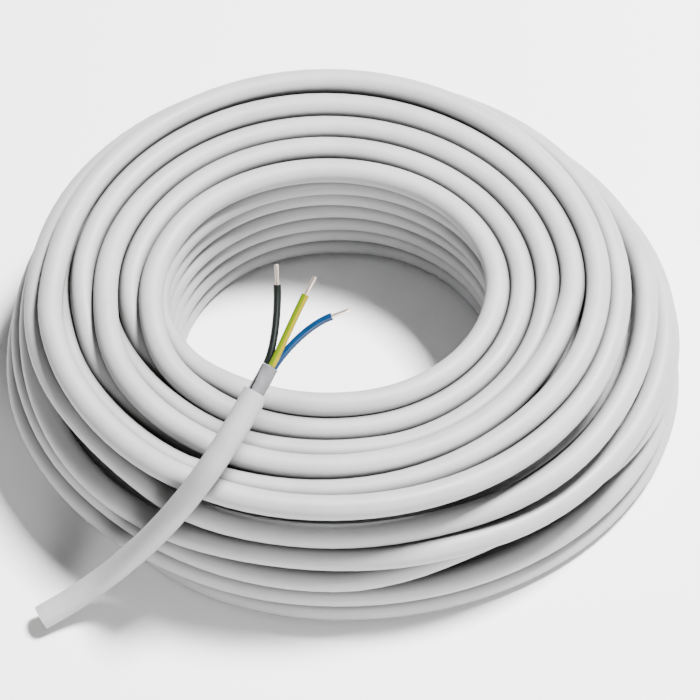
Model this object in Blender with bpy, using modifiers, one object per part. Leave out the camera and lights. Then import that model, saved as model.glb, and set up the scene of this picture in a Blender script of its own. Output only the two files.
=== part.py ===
"""Coil of light grey three-core installation cable, with a stripped length of it lying across.

Metres, +Z up. The origin is on the coil's axis, at the surface that it lies on.
"""
import math

import bpy
from mathutils import Vector

# Cable
CABLE_DIAMETER = 0.0088
FILLER_DIAMETER = 0.0060
CORE_DIAMETER = 0.0026
CONDUCTOR_DIAMETER = 0.00138

# Coil, as the cross-section of the turned ring where it is widest, and how far the ring is pressed oval
FOOT_INNER_RADIUS = 0.0631
FOOT_OUTER_RADIUS = 0.1249
RIM_RADIUS = 0.0586
RIM_HEIGHT = 0.0584
CREST_RADIUS = 0.1070
COIL_HEIGHT = 0.0676
OVAL_SHARE = 0.82
RING_STEPS = 48
CROWN_HALF_ANGLE = math.radians(20)
CORNER_STEP = math.radians(45)
GROOVE_DEPTH_SHARE = 0.58

# Stripped length: centreline of its jacket, from the cut end on the floor to the stripped end
JACKET_ROUTE = [
    (-0.1060, -0.1036, 0.0051),
    (-0.0948, -0.0982, 0.0087),
    (-0.0845, -0.0943, 0.0159),
    (-0.0749, -0.0924, 0.0270),
    (-0.0653, -0.0911, 0.0410),
    (-0.0552, -0.0893, 0.0581),
    (-0.0458, -0.0843, 0.0723),
    (-0.0395, -0.0777, 0.0792),
    (-0.0338, -0.0700, 0.0844),
    (-0.0290, -0.0623, 0.0884),
]
JACKET_POINTS = 13
FILLER_LENGTH = 0.0100
CORE_POINTS = 7
TIP_LENGTH = 0.0066
LEAVE_SHARE = 0.6

# Each core: its place around the filler's axis, and the run of its insulation and bare tip
CORES = {
    "black": {"around": 165, "reach": (0.0038, 0.0197, 0.0189), "heading": (-0.04, 0.76, 0.64)},
    "green_yellow": {"around": -75, "reach": (0.0116, 0.0196, 0.0143), "heading": (0.47, 0.68, 0.58)},
    "blue": {"around": 45, "reach": (0.0198, 0.0136, 0.0113), "heading": (0.95, 0.20, 0.27)},
}

# Gap that touching meshes keep
SEAT_GAP = 0.0003

# Colour, roughness and metallic value
FINISHES = {
    "jacket_grey": ((0.62, 0.62, 0.63), 0.55, 0.0),
    "filler_grey": ((0.36, 0.36, 0.37), 0.75, 0.0),
    "core_black": ((0.012, 0.016, 0.014), 0.40, 0.0),
    "core_green_yellow": ((0.60, 0.62, 0.03), 0.40, 0.0),
    "core_blue": ((0.01, 0.18, 0.55), 0.40, 0.0),
    "bare_copper": ((0.80, 0.45, 0.30), 0.30, 1.0),
}


def clear_scene():
    for leftover in list(bpy.data.objects):
        bpy.data.objects.remove(leftover, do_unlink=True)


def make_collection(name):
    collection = bpy.data.collections.new(name)
    bpy.context.scene.collection.children.link(collection)
    return collection


def make_material(name):
    colour, roughness, metallic = FINISHES[name]
    material = bpy.data.materials.new(name)
    material.use_nodes = True
    shader = material.node_tree.nodes["Principled BSDF"]
    shader.inputs["Base Color"].default_value = (*colour, 1.0)
    shader.inputs["Roughness"].default_value = roughness
    shader.inputs["Metallic"].default_value = metallic
    return material


def add_part(name, data, material, collection):
    part = bpy.data.objects.new(name, data)
    data.materials.append(material)
    collection.objects.link(part)
    return part


def polar(centre, angle, radius):
    return centre + radius * Vector((math.cos(angle), math.sin(angle)))


def outward_angle(start, end):
    """Angle of the normal on the left of a side, for an outline that runs clockwise."""
    along = end - start
    return math.atan2(along.x, -along.y)


def crown(centre, angle):
    """The two ends of the flat crown of a turn, tangent to the cable's round surface."""
    radius = 0.5 * CABLE_DIAMETER / math.cos(CROWN_HALF_ANGLE)
    return [polar(centre, angle + side * CROWN_HALF_ANGLE, radius) for side in (1, -1)]


def corner_turn(centre, angle_in, angle_out):
    """A turn at a corner of the section: a crown for each side that meets there, and a bend between."""
    bend = (angle_in - angle_out) % (2 * math.pi)
    rest = bend - 2 * CROWN_HALF_ANGLE
    steps = max(1, math.ceil(rest / CORNER_STEP))
    radius = 0.5 * CABLE_DIAMETER / math.cos(0.5 * rest / steps)
    points = crown(centre, angle_in)
    for step in range(1, steps):
        points.append(polar(centre, angle_in - CROWN_HALF_ANGLE - rest * step / steps, radius))
    return points + crown(centre, angle_out)


def side_turns(start, end):
    """Grooves and turns along one side of the section, between its two corner turns."""
    count = max(1, round((end - start).length / CABLE_DIAMETER))
    angle = outward_angle(start, end)
    groove = 0.5 * CABLE_DIAMETER * (1 - GROOVE_DEPTH_SHARE)
    points = []
    for turn in range(count):
        points.append(polar(start.lerp(end, (turn + 0.5) / count), angle, groove))
        if turn + 1 < count:
            points += crown(start.lerp(end, (turn + 1) / count), angle)
    return points


def coil_section():
    """Outline of the ring's cross-section in radius and height, clockwise from the crest."""
    half = 0.5 * CABLE_DIAMETER
    corners = [
        Vector((CREST_RADIUS, COIL_HEIGHT - half)),
        Vector((FOOT_OUTER_RADIUS - half, half)),
        Vector((FOOT_INNER_RADIUS + half, half)),
        Vector((RIM_RADIUS + half, RIM_HEIGHT - half)),
    ]
    outline = []
    for index, corner in enumerate(corners):
        before = corners[index - 1]
        after = corners[(index + 1) % len(corners)]
        outline += corner_turn(corner, outward_angle(before, corner), outward_angle(corner, after))
        outline += side_turns(corner, after)
    return outline


def make_coil(collection):
    outline = coil_section()
    mesh = bpy.data.meshes.new("cable_coil")
    vertices = [(point.x, 0.0, point.y) for point in outline]
    edges = [(index, (index + 1) % len(outline)) for index in range(len(outline))]
    mesh.from_pydata(vertices, edges, [])
    coil = add_part("cable_coil", mesh, make_material("jacket_grey"), collection)
    coil.scale.y = OVAL_SHARE
    turn = coil.modifiers.new("turned_ring", 'SCREW')
    turn.axis = 'Z'
    turn.angle = 2 * math.pi
    turn.steps = RING_STEPS
    turn.render_steps = RING_STEPS
    turn.use_merge_vertices = True
    turn.merge_threshold = 0.00001
    turn.use_smooth_shade = True
    return coil


def smooth_curve(route, count):
    """Even points along a smooth curve through the route's own points."""
    knots = [Vector(point) for point in route]
    knots = [2 * knots[0] - knots[1]] + knots + [2 * knots[-1] - knots[-2]]
    fine = []
    for index in range(1, len(knots) - 2):
        before, start, end, after = knots[index - 1:index + 3]
        for step in range(20):
            t = step / 20
            bend = (2 * before - 5 * start + 4 * end - after) * t ** 2
            twist = (3 * start - before - 3 * end + after) * t ** 3
            fine.append(0.5 * (2 * start + (end - before) * t + bend + twist))
    fine.append(knots[-2])
    return even_points(fine, count)


def even_points(fine, count):
    reached = [0.0]
    for start, end in zip(fine, fine[1:]):
        reached.append(reached[-1] + (end - start).length)
    points = []
    index = 0
    for step in range(count):
        target = reached[-1] * step / (count - 1)
        while index < len(fine) - 2 and reached[index + 1] < target:
            index += 1
        share = (target - reached[index]) / (reached[index + 1] - reached[index])
        points.append(fine[index].lerp(fine[index + 1], share))
    return points


def make_tube(name, points, diameter, resolution, material, collection):
    curve = bpy.data.curves.new(name, 'CURVE')
    curve.dimensions = '3D'
    curve.bevel_depth = 0.5 * diameter
    curve.bevel_resolution = resolution
    curve.render_resolution_u = 0
    curve.use_fill_caps = True
    spline = curve.splines.new('POLY')
    spline.points.add(len(points) - 1)
    for knot, point in zip(spline.points, points):
        knot.co = (*point, 1.0)
    spline.use_smooth = True
    return add_part(name, curve, make_material(material), collection)


def end_frame(heading):
    """Two directions square to a heading, the first one level with +X as far as it can be."""
    across = (Vector((1, 0, 0)) - heading * heading.x).normalized()
    return across, heading.cross(across)


def core_run(root, heading, core):
    """A core's centreline: it leaves along the filler and bends over to its own heading."""
    end = root + Vector(core["reach"])
    leave = LEAVE_SHARE * heading * (end - root).length
    arrive = Vector(core["heading"]).normalized() * (end - root).length
    points = []
    for step in range(CORE_POINTS):
        t = step / (CORE_POINTS - 1)
        start_share = 2 * t ** 3 - 3 * t ** 2 + 1
        leave_share = t ** 3 - 2 * t ** 2 + t
        arrive_share = t ** 3 - t ** 2
        points.append(root * start_share + end * (1 - start_share)
                      + leave * leave_share + arrive * arrive_share)
    return points


def make_core(name, core, face, heading, collection):
    across, up = end_frame(heading)
    around = math.radians(core["around"])
    spread = (CORE_DIAMETER + SEAT_GAP) / math.sqrt(3)
    root = face + heading * SEAT_GAP + spread * (across * math.cos(around) + up * math.sin(around))
    run = core_run(root, heading, core)
    make_tube(name + "_core", run, CORE_DIAMETER, 2, "core_" + name, collection)
    onward = (run[-1] - run[-2]).normalized()
    tip = [run[-1] + onward * SEAT_GAP, run[-1] + onward * (SEAT_GAP + TIP_LENGTH)]
    make_tube(name + "_conductor", tip, CONDUCTOR_DIAMETER, 2, "bare_copper", collection)


def make_stripped_length(collection):
    jacket = smooth_curve(JACKET_ROUTE, JACKET_POINTS)
    make_tube("stripped_length_jacket", jacket, CABLE_DIAMETER, 4, "jacket_grey", collection)
    heading = (jacket[-1] - jacket[-2]).normalized()
    start = jacket[-1] + heading * SEAT_GAP
    face = start + heading * FILLER_LENGTH
    make_tube("stripped_length_filler", [start, face], FILLER_DIAMETER, 4, "filler_grey", collection)
    for name, core in CORES.items():
        make_core(name, core, face, heading, collection)


def main():
    clear_scene()
    collection = make_collection("coil_of_cable")
    make_coil(collection)
    make_stripped_length(collection)


main()
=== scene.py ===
"""Looks of a coil of light grey three-core cable with a stripped length of it lying across."""
import math

import bmesh
import bpy
import numpy as np
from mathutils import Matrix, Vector


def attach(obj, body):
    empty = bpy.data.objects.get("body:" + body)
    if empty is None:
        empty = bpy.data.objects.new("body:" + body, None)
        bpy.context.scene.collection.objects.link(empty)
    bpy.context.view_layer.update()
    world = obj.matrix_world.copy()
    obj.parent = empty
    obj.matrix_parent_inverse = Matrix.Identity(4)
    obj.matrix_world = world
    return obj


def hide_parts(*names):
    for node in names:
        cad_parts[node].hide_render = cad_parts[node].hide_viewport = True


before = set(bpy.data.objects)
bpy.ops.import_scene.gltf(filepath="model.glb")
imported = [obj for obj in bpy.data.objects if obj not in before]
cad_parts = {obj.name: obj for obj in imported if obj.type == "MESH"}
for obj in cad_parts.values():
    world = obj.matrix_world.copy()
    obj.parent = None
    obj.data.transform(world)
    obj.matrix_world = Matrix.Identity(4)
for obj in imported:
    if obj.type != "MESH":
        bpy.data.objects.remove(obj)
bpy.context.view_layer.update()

# Cable
CABLE_DIAMETER = 0.0088
CABLE_RADIUS = 0.5 * CABLE_DIAMETER
FILLER_RADIUS = 0.0030
CORE_RADIUS = 0.0013
CONDUCTOR_RADIUS = 0.00069
SEAT_GAP = 0.0003

# Camera, from the photograph's ellipses: the height it looks down from and how strong its perspective is
CAMERA_ELEVATION = math.radians(57)
CAMERA_DISTANCE = 1.30
FOCAL_PIXELS = 3513.5
PICTURE_PIXELS = 700
ORIGIN_PIXEL = (342.0, 378.0)

# Section of the winding, as places of turn centres, with a value each to +X, +Y, -X and -Y: reach of the
# lowest row's ends, and reach and height of the top row from the bore outwards
FOOT_INNER = (0.0610, 0.0605, 0.0625, 0.0515)
FOOT_OUTER = (0.1200, 0.0990, 0.1198, 0.0985)
TOP_ROW = (
    ((0.0572, 0.0532, 0.0673, 0.0491), (0.0565, 0.0570, 0.0570, 0.0570)),
    ((0.0652, 0.0632, 0.0756, 0.0573), (0.0575, 0.0561, 0.0572, 0.0535)),
    ((0.0738, 0.0737, 0.0836, 0.0655), (0.0585, 0.0579, 0.0583, 0.0515)),
    ((0.0823, 0.0826, 0.0918, 0.0735), (0.0600, 0.0592, 0.0600, 0.0556)),
    ((0.0910, 0.0905, 0.0997, 0.0820), (0.0605, 0.0635, 0.0605, 0.0553)),
    ((0.0985, 0.0960, 0.1060, 0.0892), (0.0570, 0.0490, 0.0550, 0.0588)),
)
REACH = 0
HEIGHT = 1

# How far the outer side bulges, to the same four sides, and a power that puts most of it above half height
OUTER_BULGE = (0.0112, 0.0010, 0.0030, 0.0000)
BULGE_SKEW = 1.3

# Winding: how many turns each layer has, from the bore outwards, and how many points each turn has
LAYER_TURNS = (7, 6, 6, 6, 7, 6)
STATIONS = 96
START_AZIMUTH = math.radians(235)
END_AZIMUTH = math.radians(90)

# Steps from one turn's slot to the next, in turns: the first one, their drift, length and scatter
LEAD_TURNS = 0.45
STEP_DRIFT = 0.002
STEP_WIDTH = 0.22
STEP_SCATTER = 0.03
STEP_SEED = 3

# Slow sideways drift of the cable: its size, how much of it is left at the bore, and its waves in turns
WANDER = 0.0010
WANDER_AT_BORE = 0.4
WANDER_WAVES = 14
WANDER_PERIODS = (0.35, 1.6)
WANDER_SEED = 5

# Spacing of the turns at the bore and past a share of the way across, and how far they may pass the foot
INNER_PITCH = 1.005 * CABLE_DIAMETER
OUTER_PITCH = 1.03 * CABLE_DIAMETER
PITCH_CHANGE = 0.25
OUTER_SLACK = 0.0010

# Settling: how strongly turns keep to their places, within the section and more on its outside, and are
# pushed apart, and the strengths of its two stages
HOLD_WITHIN = 0.01
HOLD_OUTSIDE = 0.05
OUTSIDE_SHARE = 0.3
PUSH_STRENGTH = 0.45
SETTLING = (
    {"rounds": 260, "hold": 1.0, "hollow": 0.7, "smooth": (0.5, 0.5)},
    {"rounds": 60, "hold": 0.0, "hollow": 0.5, "smooth": (0.12,)},
)

# Where the winding is kept clear of the stripped length
SAMPLE_AZIMUTH = math.radians(238)
SAMPLE_HALF_ANGLE = math.radians(26)

# Hollows that the loose turns leave between them: azimuths in degrees from end to end, share of the
# way across and up the section at both ends, and half-width
HOLLOWS = (
    ((186, 248), (0.80, 1.00), (0.71, 1.00), 0.0018),
    ((190, 250), (0.98, 0.79), (0.98, 0.63), 0.0042),
    ((194, 246), (0.84, 0.79), (0.84, 0.64), 0.0032),
    ((182, 240), (1.00, 0.10), (1.00, 0.10), 0.0036),
    ((186, 238), (0.86, 0.10), (0.86, 0.10), 0.0026),
    ((236, 290), (0.98, 0.88), (0.98, 0.79), 0.0030),
    ((240, 284), (0.84, 0.86), (0.84, 0.78), 0.0024),
    ((232, 276), (1.00, 0.48), (1.00, 0.42), 0.0020),
    ((314, 354), (0.70, 1.00), (0.70, 1.00), 0.0013),
    ((290, 350), (0.98, 0.80), (0.98, 0.93), 0.0024),
    ((290, 362), (0.98, 0.59), (0.98, 0.76), 0.0028),
    ((292, 358), (0.84, 0.60), (0.84, 0.75), 0.0026),
    ((266, 324), (1.00, 0.28), (1.00, 0.38), 0.0008),
)

# How much lower the outer turns hang along the near side, as a share of the way up, a power that puts
# most of it above half height, and the azimuth where it is most
SAG = 0.09
SAG_SKEW = 1.4
SAG_AZIMUTH = math.radians(280)

# Stripped length: centreline of its jacket, from the cut end on the floor to the stripped end
JACKET_ROUTE = [
    (-0.1060, -0.1036, 0.0051),
    (-0.0948, -0.0982, 0.0087),
    (-0.0845, -0.0943, 0.0159),
    (-0.0749, -0.0924, 0.0270),
    (-0.0653, -0.0911, 0.0410),
    (-0.0552, -0.0893, 0.0581),
    (-0.0458, -0.0843, 0.0723),
    (-0.0395, -0.0777, 0.0792),
    (-0.0338, -0.0700, 0.0844),
    (-0.0290, -0.0623, 0.0884),
]

# Steps between the route's points, for its mesh and for keeping the turns clear of it
ROUTE_STEPS = 8
CLEARANCE_STEPS = 4

# Filling compound: its slit from start to end, in degrees around it, and its unevenness
FILLER_LENGTH = 0.0100
FILLER_RINGS = 13
SLIT_AROUND = (212.0, 192.0)
SLIT_HALF_ANGLE = 20.0
SLIT_DEPTH = 0.0008
SLIT_CORE_DEPTH = 0.00025
RIPPLE_DEPTH = 0.00006
RIPPLES_ALONG = 9
RIPPLES_AROUND = 3

# Bare copper: its length, how far it starts within the insulation, and its rounded end
TIP_LENGTH = 0.0066
TIP_ROOT = 0.0004
TIP_ROUNDING = 0.00015
TIP_END_SHARE = 0.8

# Cores: their places around the filler's axis in degrees, and the run and heading of their insulation
LEAVE_SHARE = 0.6
CORE_POINTS = 25
CORES = {
    "black": {"around": 165, "reach": (0.0038, 0.0197, 0.0189), "heading": (-0.04, 0.76, 0.64)},
    "green_yellow": {"around": -75, "reach": (0.0116, 0.0196, 0.0143), "heading": (0.47, 0.68, 0.58)},
    "blue": {"around": 45, "reach": (0.0198, 0.0136, 0.0113), "heading": (0.95, 0.20, 0.27)},
}

# Cut faces: how deep their layers start in the cable, and how far each stands out of the cut
CUT_DEPTH = 0.0002
FILLER_LEVEL = 0.00008
CORE_LEVEL = 0.00016
COPPER_LEVEL = 0.00024

# Meshes
WINDING_SIDES = 18
JACKET_SIDES = 40
FILLER_SIDES = 72
CORE_SIDES = 36
CUT_SIDES = 32
TIP_SIDES = 24
SHARP_ANGLE = math.radians(50)
UPWARD = np.array([0.0, 0.0, 1.0])
TINY = 1e-6

# Colours
JACKET_GREY = (0.355, 0.355, 0.358)
# Painted shade between the turns: its dark grey, how far the occlusion test reaches, and the occlusion
# where the shade is full and where it ends
CREVICE_SHADE_GREY = (0.10, 0.099, 0.096)
CREVICE_REACH = 0.009
CREVICE_DARK = 0.15
CREVICE_OPEN = 0.80
FILLER_GREY = (0.13, 0.13, 0.138)
CORE_BLACK = (0.006, 0.009, 0.0075)
CORE_YELLOW = (0.25, 0.195, 0.0001)
CORE_GREEN = (0.10, 0.155, 0.0003)
CORE_BLUE = (0.0005, 0.026, 0.085)
COPPER = (0.96, 0.80, 0.70)
FLOOR_WHITE = (0.9, 0.9, 0.9)

# Stripe of the green and yellow core: its middle in turns around the core, and its soft edge as cosines
STRIPE_TURN = 0.57
STRIPE_EDGE = (0.15, 0.35)

# Stage
FLOOR_HALF = 3.0
WORLD_STRENGTH = 0.12
LIGHTS = {
    "key": {"place": (0.48, 0.32, 1.31), "size": 0.3, "power": 111},
    "fill": {"place": (0.30, -1.25, 0.50), "size": 0.5, "power": 18},
}


def clear_leftovers():
    for name in ("Cube", "Light", "Camera"):
        leftover = bpy.data.objects.get(name)
        if leftover is not None:
            bpy.data.objects.remove(leftover, do_unlink=True)


def make_camera():
    """A long lens from in front and above, placed so that the origin falls on its pixel of the picture."""
    forward = Vector((0, math.cos(CAMERA_ELEVATION), -math.sin(CAMERA_ELEVATION)))
    up = Vector((0, math.sin(CAMERA_ELEVATION), math.cos(CAMERA_ELEVATION)))
    metres_per_pixel = CAMERA_DISTANCE / FOCAL_PIXELS
    middle = 0.5 * PICTURE_PIXELS
    across = (middle - ORIGIN_PIXEL[0]) * metres_per_pixel
    rise = (ORIGIN_PIXEL[1] - middle) * metres_per_pixel
    data = bpy.data.cameras.new("camera")
    data.sensor_width = 36.0
    data.lens = FOCAL_PIXELS / PICTURE_PIXELS * data.sensor_width
    data.clip_start = 0.05
    camera = bpy.data.objects.new("camera", data)
    camera.location = -CAMERA_DISTANCE * forward + across * Vector((1, 0, 0)) + rise * up
    camera.rotation_euler = forward.to_track_quat('-Z', 'Y').to_euler()
    bpy.context.scene.collection.objects.link(camera)
    bpy.context.scene.camera = camera


# Winding


def lerp(a, b, share):
    return a * (1 - share) + b * share


def winding_slots():
    """Turns in winding order, as shares of the way across and up, layer by layer from the bore."""
    slots = []
    for layer, count in enumerate(LAYER_TURNS):
        run = [(layer / (len(LAYER_TURNS) - 1), turn / (count - 1)) for turn in range(count)]
        slots += run if layer % 2 == 0 else run[::-1]
    return np.array(slots)


def smoothstep(x):
    x = np.clip(x, 0, 1)
    return x * x * (3 - 2 * x)


def slot_progress(turns, count):
    """How many slots the cable has moved on after so many turns: it stays in one, then crosses."""
    random = np.random.RandomState(STEP_SEED)
    scatter = random.uniform(-STEP_SCATTER, STEP_SCATTER, count - 1)
    crossings = LEAD_TURNS + (np.arange(count - 1) + 0.5) * (1 - STEP_DRIFT) + scatter
    return smoothstep((turns[:, None] - crossings) / STEP_WIDTH + 0.5).sum(1)


def first_shares(slots):
    """Shares of the way across and up at each station, before the turns are pressed together."""
    last_crossing = LEAD_TURNS + (len(slots) - 1.5) * (1 - STEP_DRIFT)
    azimuth = START_AZIMUTH + 2 * math.pi * last_crossing
    onward = (END_AZIMUTH - azimuth) % (2 * math.pi) / (2 * math.pi)
    count = int((last_crossing + onward) * STATIONS)
    progress = slot_progress(np.arange(count + 1) / STATIONS, len(slots))
    index = np.minimum(progress.astype(int), len(slots) - 2)
    share = (progress - index)[:, None]
    return lerp(slots[index], slots[index + 1], share)


def azimuths(count):
    """The azimuth of each station from the winding's start."""
    return START_AZIMUTH + 2 * math.pi * np.arange(count) / STATIONS


def round_oval(reach, azimuth):
    """Plan position at an azimuth on an oval with the given reach to +X, +Y, -X and -Y."""
    right, far, left, near = reach
    east = 0.5 * (right - left) + 0.5 * (right + left) * np.cos(azimuth)
    north = 0.5 * (far - near) + 0.5 * (far + near) * np.sin(azimuth)
    return np.stack([east, north], -1)


def by_side(values, azimuth):
    """A value that is given for the sides to +X, +Y, -X and -Y, blended between them."""
    right, far, left, near = values
    east = np.cos(azimuth)
    north = np.sin(azimuth)
    return np.where(east > 0, right, left) * east ** 2 + np.where(north > 0, far, near) * north ** 2


def top_row(part, share):
    """Reach or height of the top row at a share of the way across, for each of the four sides."""
    places = np.linspace(0, 1, len(TOP_ROW))
    return [np.interp(share, places, [column[part][side] for column in TOP_ROW]) for side in range(4)]


def section_frame(azimuth):
    """Where the section starts in plan, and the level direction that it lies along."""
    start = round_oval(TOP_ROW[0][REACH], azimuth)
    across = round_oval(FOOT_OUTER, azimuth) - start
    return start, across / np.linalg.norm(across, axis=-1, keepdims=True)


def in_section(shares, azimuth):
    """Distance along the section and height of a place given by its shares of the way across and up."""
    start, across = section_frame(azimuth)
    u, v = shares[:, 0], shares[:, 1]
    foot = lerp(round_oval(FOOT_INNER, azimuth), round_oval(FOOT_OUTER, azimuth), u[:, None])
    top = round_oval(top_row(REACH, u), azimuth)
    place = ((lerp(foot, top, v[:, None]) - start) * across).sum(1)
    place += by_side(OUTER_BULGE, azimuth) * u ** 2 * np.sin(math.pi * v ** BULGE_SKEW)
    height = lerp(CABLE_RADIUS, by_side(top_row(HEIGHT, u), azimuth), v)
    return np.stack([place, height], 1)


def in_space(path):
    """Points in space for places that are given in the section, one at each station."""
    start, across = section_frame(azimuths(len(path)))
    return np.column_stack([start + path[:, 0:1] * across, path[:, 1]])


def by_station(path):
    """The path cut into turns: an array of turns by stations, padded past its end with empty points."""
    turns = -(-len(path) // STATIONS)
    padded = np.full((turns * STATIONS, 2), np.nan)
    padded[:len(path)] = path
    return padded.reshape(turns, STATIONS, 2)


def push_apart(path, pitch, strength):
    """Moves turns that lie closer than their pitch away from each other, at every station."""
    grid = by_station(path)
    pitches = by_station(np.column_stack([pitch, pitch]))[..., 0]
    distance = 0.5 * (pitches[:, None] + pitches[None, :])
    gap = grid[:, None] - grid[None, :]
    reach = np.sqrt((gap ** 2).sum(-1))
    near = reach < distance
    near &= ~np.eye(len(grid), dtype=bool)[:, :, None]
    near &= np.isfinite(reach)
    safe = np.where(near, np.maximum(reach, TINY), 1.0)
    push = np.where(near, (distance - reach) / safe, 0.0)[..., None] * np.nan_to_num(gap)
    move = 0.5 * strength * push.sum(1)
    return path + move.reshape(-1, 2)[:len(path)]


def hollow_places(count):
    """For each hollow, its centre and half-width at every station."""
    azimuth = azimuths(count)
    hollows = []
    for (first, last), place_first, place_last, size in HOLLOWS:
        middle = math.radians(0.5 * (first + last))
        half = math.radians(0.5 * (last - first))
        off = (azimuth - middle + math.pi) % (2 * math.pi) - math.pi
        share = np.clip(0.5 + 0.5 * off / half, 0, 1)[:, None]
        centre = in_section(lerp(np.array(place_first), np.array(place_last), share), azimuth)
        hollows.append((centre, size * np.sqrt(np.clip(1 - (off / half) ** 2, 0, 1))))
    return hollows


def keep_hollows(path, hollows, strength):
    """Moves turns out of the hollows."""
    moved = path.copy()
    for centre, size in hollows:
        gap = path - centre
        reach = np.maximum(np.sqrt((gap ** 2).sum(1)), TINY)
        lack = np.where(size > 0, np.maximum(CABLE_RADIUS + size - reach, 0), 0)
        moved += strength * (lack / reach)[:, None] * gap
    return moved


def smooth_along(path, strength):
    """Evens out the cable along its length, because it is too stiff for short bends."""
    moved = path.copy()
    moved[1:-1] += strength * (0.5 * (path[:-2] + path[2:]) - path[1:-1])
    return moved


def wander(count, seed):
    """Slow sideways drift of the cable, different for each turn, about 1 in size."""
    random = np.random.RandomState(seed)
    along = np.arange(count) / STATIONS
    drift = np.zeros((count, 2))
    for wave in range(WANDER_WAVES):
        period = random.uniform(*WANDER_PERIODS)
        phase = random.uniform(0, 2 * math.pi, 2)
        drift += np.sin(2 * math.pi * along[:, None] / period + phase) / math.sqrt(WANDER_WAVES)
    return drift


def keep_clear(path, sample, near):
    """Moves the turns that pass under the stripped length out of its way."""
    across = section_frame(azimuths(len(path)))[1][near]
    gap = in_space(path)[near][:, None] - sample[None, :]
    reach = np.linalg.norm(gap, axis=2)
    closest = reach.argmin(1)
    rows = np.arange(len(near))
    lack = np.maximum(CABLE_DIAMETER + SEAT_GAP - reach[rows, closest], 0) / reach[rows, closest]
    push = lack[:, None] * gap[rows, closest]
    moved = path.copy()
    moved[near] += np.column_stack([(push[:, :2] * across).sum(1), push[:, 2]])
    return moved


def keep_within(path, outermost):
    """Keeps the turns off the floor and off the outside of the section's foot."""
    return np.column_stack([np.minimum(path[:, 0], outermost), np.maximum(path[:, 1], CABLE_RADIUS)])


def hold_strength(shares):
    """How strongly a turn keeps to its place: on the outside of the section more than within."""
    u, v = shares[:, 0], shares[:, 1]
    outside = np.maximum(np.abs(2 * u - 1), 2 * v - 1)
    share = np.clip((outside - (1 - OUTSIDE_SHARE)) / OUTSIDE_SHARE, 0, 1)
    return (HOLD_WITHIN + HOLD_OUTSIDE * share)[:, None]


def press_together(target, shares):
    """Settles the turns against each other and the floor, near the places that they start from."""
    hollows = hollow_places(len(target))
    hold = hold_strength(shares)
    azimuth = azimuths(len(target))
    foot = np.tile([1.0, 0.0], (len(target), 1))
    outermost = in_section(foot, azimuth)[:, 0] + OUTER_SLACK
    pitch = lerp(INNER_PITCH, OUTER_PITCH, smoothstep(shares[:, 0] / PITCH_CHANGE))
    sample = smooth_curve(JACKET_ROUTE, CLEARANCE_STEPS)
    near = np.flatnonzero(np.cos(azimuth - SAMPLE_AZIMUTH) > math.cos(SAMPLE_HALF_ANGLE))
    path = target.copy()
    for stage in SETTLING:
        for step in range(stage["rounds"]):
            path = path + stage["hold"] * hold * (target - path)
            path = push_apart(path, pitch, PUSH_STRENGTH)
            path = keep_hollows(path, hollows, stage["hollow"])
            for strength in stage["smooth"]:
                path = smooth_along(path, strength)
            path = keep_within(keep_clear(path, sample, near), outermost)
    return path


def hang_down(shares):
    """Lowers the outer turns on the near side, most a little above half height."""
    u, v = shares[:, 0], shares[:, 1]
    near = np.clip(np.cos(azimuths(len(shares)) - SAG_AZIMUTH), 0, 1) ** 2
    lower = SAG * near * u ** 2 * np.sin(math.pi * np.clip(v, 0, 1) ** SAG_SKEW)
    return np.column_stack([u, v - lower])


def wound_path():
    """Centreline of the whole winding."""
    shares = hang_down(first_shares(winding_slots()))
    placed = in_section(shares, azimuths(len(shares)))
    loose = WANDER * (WANDER_AT_BORE + (1 - WANDER_AT_BORE) * shares[:, 0:1])
    return in_space(press_together(placed + loose * wander(len(placed), WANDER_SEED), shares))


# Meshes


def tangents(points):
    """Unit direction of a line of points at each of them."""
    along = np.gradient(points, axis=0)
    return along / np.linalg.norm(along, axis=1, keepdims=True)


def tube_rings(points, radius, sides, side_hint):
    """Rings of a tube round its centreline, started from a direction that is kept square to it."""
    along = tangents(points)
    side = np.zeros_like(points)
    side[0] = side_hint - along[0] * np.dot(side_hint, along[0])
    side[0] /= np.linalg.norm(side[0])
    for index in range(1, len(points)):
        kept = side[index - 1] - along[index] * np.dot(side[index - 1], along[index])
        side[index] = kept / np.linalg.norm(kept)
    other = np.cross(along, side)
    turn = 2 * math.pi * np.arange(sides) / sides
    cosine = np.cos(turn)[None, :, None]
    sine = np.sin(turn)[None, :, None]
    spokes = side[:, None] * cosine + other[:, None] * sine
    return points[:, None] + np.asarray(radius).reshape(-1, 1, 1) * spokes


def mesh_from_rings(name, rings):
    """A closed tube from rings of points, with flat ends, and a UV map of turns around and metres along."""
    count, sides = rings.shape[:2]
    ring = np.arange(count - 1)[:, None] * sides
    here = np.arange(sides)[None, :]
    after = (here + 1) % sides
    quads = np.stack([ring + here, ring + after, ring + sides + after, ring + sides + here], -1)
    mesh = bpy.data.meshes.new(name)
    faces = quads.reshape(-1, 4).tolist()
    faces.append(list(range(sides))[::-1])
    faces.append([(count - 1) * sides + index for index in range(sides)])
    mesh.from_pydata(rings.reshape(-1, 3).tolist(), [], faces)
    mesh.update()
    add_tube_uv(mesh, rings)
    mesh.shade_smooth()
    mesh.set_sharp_from_angle(angle=SHARP_ANGLE)
    return mesh


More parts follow.
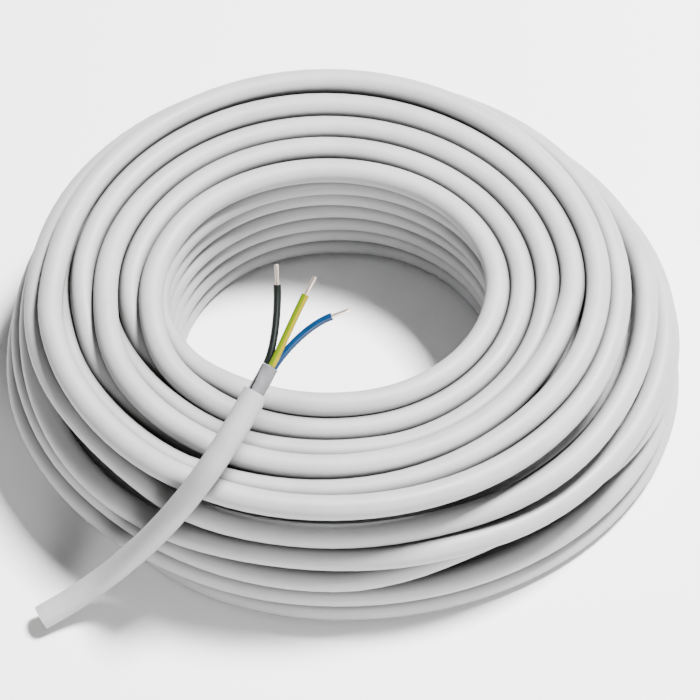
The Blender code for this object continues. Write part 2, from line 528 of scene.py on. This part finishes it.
def add_tube_uv(mesh, rings):
    """Turns around in X and metres along in Y, for the sides of a tube; its two ends stay at zero."""
    count, sides = rings.shape[:2]
    centres = rings.mean(1)
    reached = np.concatenate([[0], np.cumsum(np.linalg.norm(np.diff(centres, axis=0), axis=1))])
    layer = mesh.uv_layers.new(name="along")
    u = np.arange(sides) / sides
    quads = np.zeros((count - 1, sides, 4, 2))
    quads[..., 0, 0] = quads[..., 3, 0] = u[None, :]
    quads[..., 1, 0] = quads[..., 2, 0] = (u + 1 / sides)[None, :]
    quads[..., 0, 1] = quads[..., 1, 1] = reached[:-1, None]
    quads[..., 2, 1] = quads[..., 3, 1] = reached[1:, None]
    ends = np.zeros((2 * sides, 2))
    flat = np.concatenate([quads.reshape(-1, 2), ends])
    layer.data.foreach_set("uv", flat.astype(np.float32).ravel())


def add_piece(name, mesh, material):
    piece = bpy.data.objects.new(name, mesh)
    mesh.materials.append(material)
    bpy.context.scene.collection.objects.link(piece)
    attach(piece, "root")
    return piece


def make_winding(materials):
    """The wound cable, as one tube with a cut face at each end."""
    points = wound_path()
    mesh = mesh_from_rings("wound_cable", tube_rings(points, CABLE_RADIUS, WINDING_SIDES, UPWARD))
    winding = add_piece("wound_cable", mesh, materials["jacket"])
    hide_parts("cable_coil")
    faces = make_cut_face("winding_start", points[0], points[0] - points[1], materials)
    faces += make_cut_face("winding_end", points[-1], points[-1] - points[-2], materials)


# Stripped length


def smooth_curve(route, steps):
    """Points along a smooth curve through the route's own points."""
    knots = [np.array(point) for point in route]
    knots = [2 * knots[0] - knots[1]] + knots + [2 * knots[-1] - knots[-2]]
    points = []
    for index in range(1, len(knots) - 2):
        before, start, end, after = knots[index - 1:index + 3]
        for step in range(steps):
            t = step / steps
            bend = (2 * before - 5 * start + 4 * end - after) * t ** 2
            twist = (3 * start - before - 3 * end + after) * t ** 3
            points.append(0.5 * (2 * start + (end - before) * t + bend + twist))
    points.append(knots[-2])
    return np.array(points)


def core_run(root, heading, core, count):
    """A core's centreline: it leaves along the filler and bends over to its own heading."""
    end = root + np.array(core["reach"])
    size = np.linalg.norm(end - root)
    leave = LEAVE_SHARE * heading * size
    arrive = np.array(core["heading"]) / np.linalg.norm(core["heading"]) * size
    t = np.linspace(0, 1, count)[:, None]
    start_share = 2 * t ** 3 - 3 * t ** 2 + 1
    return (root * start_share + end * (1 - start_share)
            + leave * (t ** 3 - 2 * t ** 2 + t) + arrive * (t ** 3 - t ** 2))


def end_frame(heading):
    """Two directions square to a heading, the first one level with +X as far as it can be."""
    across = np.array([1.0, 0.0, 0.0]) - heading * heading[0]
    across /= np.linalg.norm(across)
    return across, np.cross(heading, across)


def core_places(centre, heading):
    """Where the three cores' centres lie in a cross-section of the cable."""
    across, up = end_frame(heading)
    reach = (2 * CORE_RADIUS + SEAT_GAP) / math.sqrt(3)
    angles = {name: math.radians(core["around"]) for name, core in CORES.items()}
    return {name: centre + reach * (across * math.cos(angle) + up * math.sin(angle))
            for name, angle in angles.items()}


def joined_rings(name, groups):
    """One mesh of several short tubes."""
    bm = bmesh.new()
    for rings in groups:
        part = mesh_from_rings(name, rings)
        bm.from_mesh(part)
        bpy.data.meshes.remove(part)
    mesh = bpy.data.meshes.new(name)
    bm.to_mesh(mesh)
    bm.free()
    return mesh


def make_cut_face(name, centre, heading, materials):
    """The cut through the cable at one of its ends, with its filling compound, cores and copper."""
    heading = heading / np.linalg.norm(heading)
    places = core_places(centre, heading)

    def disc(place, radius, level):
        ends = np.array([place - heading * CUT_DEPTH, place + heading * level])
        return tube_rings(ends, radius, CUT_SIDES, end_frame(heading)[0])

    filler = mesh_from_rings(name + "_filler", disc(centre, FILLER_RADIUS, FILLER_LEVEL))
    pieces = [add_piece(name + "_filler", filler, materials["filler"])]
    for core, place in places.items():
        slot = "core_" + core
        mesh = mesh_from_rings(name + "_" + core, disc(place, CORE_RADIUS, CORE_LEVEL))
        pieces.append(add_piece(name + "_" + core, mesh, materials[slot]))
    copper = [disc(place, CONDUCTOR_RADIUS, COPPER_LEVEL) for place in places.values()]
    mesh = joined_rings(name + "_copper", copper)
    pieces.append(add_piece(name + "_copper", mesh, materials["conductor"]))
    return pieces


def make_filler(start, heading, materials):
    """The filling compound, slit open on the black core's side."""
    across, up = end_frame(heading)
    ends = start + heading * np.linspace(0, FILLER_LENGTH, FILLER_RINGS)[:, None]
    rings = tube_rings(ends, FILLER_RADIUS, FILLER_SIDES, across)
    around = np.arange(FILLER_SIDES)[None, :] * (360 / FILLER_SIDES)
    along = np.linspace(0, 1, FILLER_RINGS)[:, None]
    middle = lerp(SLIT_AROUND[0], SLIT_AROUND[1], along)
    depth = SLIT_DEPTH * np.clip(1 - ((around - middle) / SLIT_HALF_ANGLE) ** 4, 0, 1)
    ripple = np.sin(RIPPLES_ALONG * along + np.radians(RIPPLES_AROUND * around))
    share = 1 - (depth + RIPPLE_DEPTH * (1 + ripple)) / FILLER_RADIUS
    rings = ends[:, None] + share[..., None] * (rings - ends[:, None])
    piece = add_piece("filler", mesh_from_rings("filler", rings), materials["filler"])
    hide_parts("stripped_length_filler")
    reach = FILLER_RADIUS - SLIT_CORE_DEPTH - CORE_RADIUS
    run = [end + reach * (across * math.cos(angle) + up * math.sin(angle))
           for end, angle in zip((ends[0], ends[-1]), np.radians(SLIT_AROUND))]
    mesh = mesh_from_rings("core_in_slit", tube_rings(np.array(run), CORE_RADIUS, CUT_SIDES, across))
    return [piece, add_piece("core_in_slit", mesh, materials["core_black"])]


def make_core(name, core, root, heading, materials):
    """A core's insulation and its bare copper tip."""
    run = core_run(root, heading, core, CORE_POINTS)
    slot = "core_" + name
    mesh = mesh_from_rings(slot, tube_rings(run, CORE_RADIUS, CORE_SIDES, end_frame(heading)[0]))
    insulation = add_piece(slot, mesh, materials[slot])
    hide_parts(name + "_core")
    onward = run[-1] - run[-2]
    onward /= np.linalg.norm(onward)
    reach = np.array([-TIP_ROOT, 0.3 * TIP_LENGTH, 0.7 * TIP_LENGTH,
                      TIP_LENGTH - TIP_ROUNDING, TIP_LENGTH + SEAT_GAP])
    radius = CONDUCTOR_RADIUS * np.array([1.0, 1.0, 1.0, 1.0, TIP_END_SHARE])
    tip = tube_rings(run[-1] + reach[:, None] * onward, radius, TIP_SIDES, end_frame(onward)[0])
    mesh = mesh_from_rings(name + "_tip", tip)
    copper = add_piece(name + "_tip", mesh, materials["conductor"])
    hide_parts(name + "_conductor")
    return [insulation, copper]


def make_stripped_length(materials):
    """The stripped length's jacket, with what comes out of it on it."""
    points = smooth_curve(JACKET_ROUTE, ROUTE_STEPS)
    mesh = mesh_from_rings("sample_jacket", tube_rings(points, CABLE_RADIUS, JACKET_SIDES, UPWARD))
    jacket = add_piece("sample_jacket", mesh, materials["jacket"])
    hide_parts("stripped_length_jacket")
    heading = points[-1] - points[-2]
    heading /= np.linalg.norm(heading)
    on_it = make_cut_face("sample_end", points[0], points[0] - points[1], materials)
    on_it += make_filler(points[-1], heading, materials)
    face = points[-1] + heading * (SEAT_GAP + FILLER_LENGTH)
    roots = core_places(face, heading)
    for name, core in CORES.items():
        on_it += make_core(name, core, roots[name], heading, materials)


# Materials


def shade(colour, share):
    return tuple(share * part for part in colour)


def new_material(name, colour, roughness, metallic=0.0):
    material = bpy.data.materials.new(name)
    material.use_nodes = True
    shader = material.node_tree.nodes["Principled BSDF"]
    shader.inputs["Base Color"].default_value = (*colour, 1)
    shader.inputs["Roughness"].default_value = roughness
    shader.inputs["Metallic"].default_value = metallic
    return material, shader


def add_node(shader, kind, inputs=None, **settings):
    """A node beside a shader; an input is a value or another node's output socket."""
    tree = shader.id_data
    node = tree.nodes.new("ShaderNode" + kind)
    for name, value in settings.items():
        setattr(node, name, value)
    for name, value in (inputs or {}).items():
        if isinstance(value, bpy.types.NodeSocket):
            tree.links.new(value, node.inputs[name])
        else:
            node.inputs[name].default_value = value
    return node


def connect(shader, output, name):
    shader.id_data.links.new(output, shader.inputs[name])


def noise(shader, vector, scale, detail, roughness=0.5):
    inputs = {"Vector": vector, "Scale": scale, "Detail": detail, "Roughness": roughness}
    return add_node(shader, "TexNoise", inputs).outputs["Fac"]


def spread(shader, value, low, high, from_low=0.3, from_high=0.7):
    inputs = {"Value": value, "From Min": from_low, "From Max": from_high, "To Min": low, "To Max": high}
    return add_node(shader, "MapRange", inputs).outputs["Result"]


def blend(shader, share, first, second):
    """A mix of two colours, each of them a value or another node's output socket."""
    node = add_node(shader, "Mix", data_type='RGBA')
    shader.id_data.links.new(share, node.inputs["Factor"])
    for socket, value in ((node.inputs[6], first), (node.inputs[7], second)):
        if isinstance(value, bpy.types.NodeSocket):
            shader.id_data.links.new(value, socket)
        else:
            socket.default_value = (*value, 1)
    return node.outputs[2]


def bump(shader, height, distance, strength, normal=None):
    inputs = {"Height": height, "Distance": distance, "Strength": strength}
    if normal is not None:
        inputs["Normal"] = normal
    return add_node(shader, "Bump", inputs).outputs["Normal"]


def jacket_material():
    """Soft grey PVC: faint blotches, drawn lines along it, and painted shade where the turns lie close."""
    material, shader = new_material("jacket", JACKET_GREY, 0.5)
    shader.inputs["Specular IOR Level"].default_value = 0.4
    place = add_node(shader, "TexCoord").outputs["Object"]
    along = add_node(shader, "UVMap", uv_map="along").outputs["UV"]
    drawn = add_node(shader, "Mapping", {"Vector": along, "Scale": (9.0, 6.0, 1.0)}).outputs["Vector"]
    grain = add_node(shader, "Mapping", {"Vector": along, "Scale": (26.0, 900.0, 1.0)}).outputs["Vector"]
    blotches = noise(shader, place, scale=45, detail=4, roughness=0.6)
    lines = noise(shader, drawn, scale=4, detail=2)
    pores = noise(shader, grain, scale=2.2, detail=2)
    clean = blend(shader, spread(shader, blotches, low=0, high=1),
                  shade(JACKET_GREY, 0.90), shade(JACKET_GREY, 1.07))
    lined = blend(shader, spread(shader, lines, low=0, high=0.4), clean, shade(JACKET_GREY, 0.86))
    # Painted shade: the base colour goes towards a dark grey where ambient occlusion finds turns close by
    open_sky = add_node(shader, "AmbientOcclusion", {"Distance": CREVICE_REACH}, samples=8).outputs["AO"]
    painted_crevice_shade = spread(shader, open_sky, low=1, high=0, from_low=CREVICE_DARK, from_high=CREVICE_OPEN)
    connect(shader, blend(shader, painted_crevice_shade, lined, CREVICE_SHADE_GREY), "Base Color")
    connect(shader, spread(shader, blotches, low=0.42, high=0.60), "Roughness")
    rippled = bump(shader, lines, distance=0.00006, strength=0.5)
    connect(shader, bump(shader, pores, distance=0.00003, strength=0.4, normal=rippled), "Normal")
    return material


def filler_material():
    """Dull grey filling compound, rough where it was pulled off."""
    material, shader = new_material("filler", FILLER_GREY, 0.75)
    place = add_node(shader, "TexCoord").outputs["Object"]
    grains = noise(shader, place, scale=900, detail=4, roughness=0.65)
    patches = noise(shader, place, scale=260, detail=2)
    colour = blend(shader, spread(shader, patches, low=0, high=1),
                   shade(FILLER_GREY, 0.8), shade(FILLER_GREY, 1.15))
    connect(shader, colour, "Base Color")
    connect(shader, spread(shader, grains, low=0.6, high=0.85), "Roughness")
    connect(shader, bump(shader, grains, distance=0.00012, strength=0.6), "Normal")
    return material


def insulation_material(name, colour, specular, variation):
    """Smooth, slightly glossy plastic, and beside it its colour with faint changes of tone."""
    material, shader = new_material(name, colour, 0.34)
    shader.inputs["Specular IOR Level"].default_value = specular
    place = add_node(shader, "TexCoord").outputs["Object"]
    tone = noise(shader, place, scale=320, detail=3)
    toned = blend(shader, spread(shader, tone, low=0, high=1),
                  shade(colour, 1 - variation), shade(colour, 1 + variation))
    connect(shader, spread(shader, tone, low=0.28, high=0.42), "Roughness")
    pores = noise(shader, place, scale=1500, detail=2)
    connect(shader, bump(shader, pores, distance=0.00003, strength=0.3), "Normal")
    return material, shader, toned


def core_material(name, colour):
    """Insulation of one colour."""
    material, shader, toned = insulation_material(name, colour, specular=0.3, variation=0.15)
    connect(shader, toned, "Base Color")
    return material


def striped_material(name, yellow, green):
    """Yellow insulation with a broad green stripe along it."""
    material, shader, toned = insulation_material(name, yellow, specular=0.12, variation=0.1)
    along = add_node(shader, "UVMap", uv_map="along").outputs["UV"]
    around = add_node(shader, "SeparateXYZ", {"Vector": along}).outputs["X"]
    turned = add_node(shader, "Math", {0: around, 1: STRIPE_TURN}, operation='SUBTRACT').outputs[0]
    wave = add_node(shader, "Math", {0: turned, 1: 2 * math.pi}, operation='MULTIPLY').outputs[0]
    side = add_node(shader, "Math", {0: wave}, operation='COSINE').outputs[0]
    stripe = spread(shader, side, low=0, high=1, from_low=STRIPE_EDGE[0], from_high=STRIPE_EDGE[1])
    connect(shader, blend(shader, stripe, toned, green), "Base Color")
    return material


def copper_material():
    """Bare solid copper, bright where it was stripped and a little scratched along."""
    material, shader = new_material("conductor", COPPER, 0.35, 1.0)
    place = add_node(shader, "TexCoord").outputs["Object"]
    along = add_node(shader, "UVMap", uv_map="along").outputs["UV"]
    drawn = add_node(shader, "Mapping", {"Vector": along, "Scale": (40.0, 90.0, 1.0)}).outputs["Vector"]
    scratches = noise(shader, drawn, scale=1.5, detail=2)
    tarnish = noise(shader, place, scale=420, detail=3)
    colour = blend(shader, spread(shader, tarnish, low=0, high=1), shade(COPPER, 0.88), COPPER)
    connect(shader, colour, "Base Color")
    connect(shader, spread(shader, scratches, low=0.28, high=0.46), "Roughness")
    connect(shader, bump(shader, scratches, distance=0.00002, strength=0.3), "Normal")
    return material


def floor_material():
    """Plain matt white, a little uneven in its roughness."""
    material, shader = new_material("floor", FLOOR_WHITE, 0.8)
    place = add_node(shader, "TexCoord").outputs["Object"]
    patches = noise(shader, place, scale=3, detail=2)
    connect(shader, spread(shader, patches, low=0.75, high=0.85), "Roughness")
    return material


# Stage


def make_floor():
    mesh = bpy.data.meshes.new("floor")
    corners = [(x * FLOOR_HALF, y * FLOOR_HALF, 0) for x, y in ((-1, -1), (1, -1), (1, 1), (-1, 1))]
    mesh.from_pydata(corners, [], [(0, 1, 2, 3)])
    floor = bpy.data.objects.new("floor", mesh)
    mesh.materials.append(floor_material())
    bpy.context.scene.collection.objects.link(floor)


def add_area_light(name, place, size, power):
    data = bpy.data.lights.new(name, 'AREA')
    data.size = size
    data.energy = power
    light = bpy.data.objects.new(name, data)
    light.location = place
    light.rotation_euler = (-Vector(place)).to_track_quat('-Z', 'Y').to_euler()
    bpy.context.scene.collection.objects.link(light)


def make_lights():
    world = bpy.data.worlds.new("studio")
    bpy.context.scene.world = world
    world.use_nodes = True
    background = world.node_tree.nodes["Background"]
    background.inputs["Color"].default_value = (1, 1, 1, 1)
    background.inputs["Strength"].default_value = WORLD_STRENGTH
    for name, light in LIGHTS.items():
        add_area_light(name, **light)


clear_leftovers()
make_camera()
materials = {
    "jacket": jacket_material(),
    "filler": filler_material(),
    "core_black": core_material("core_black", CORE_BLACK),
    "core_green_yellow": striped_material("core_green_yellow", CORE_YELLOW, CORE_GREEN),
    "core_blue": core_material("core_blue", CORE_BLUE),
    "conductor": copper_material(),
}
make_winding(materials)
make_stripped_length(materials)
make_lights()
make_floor()
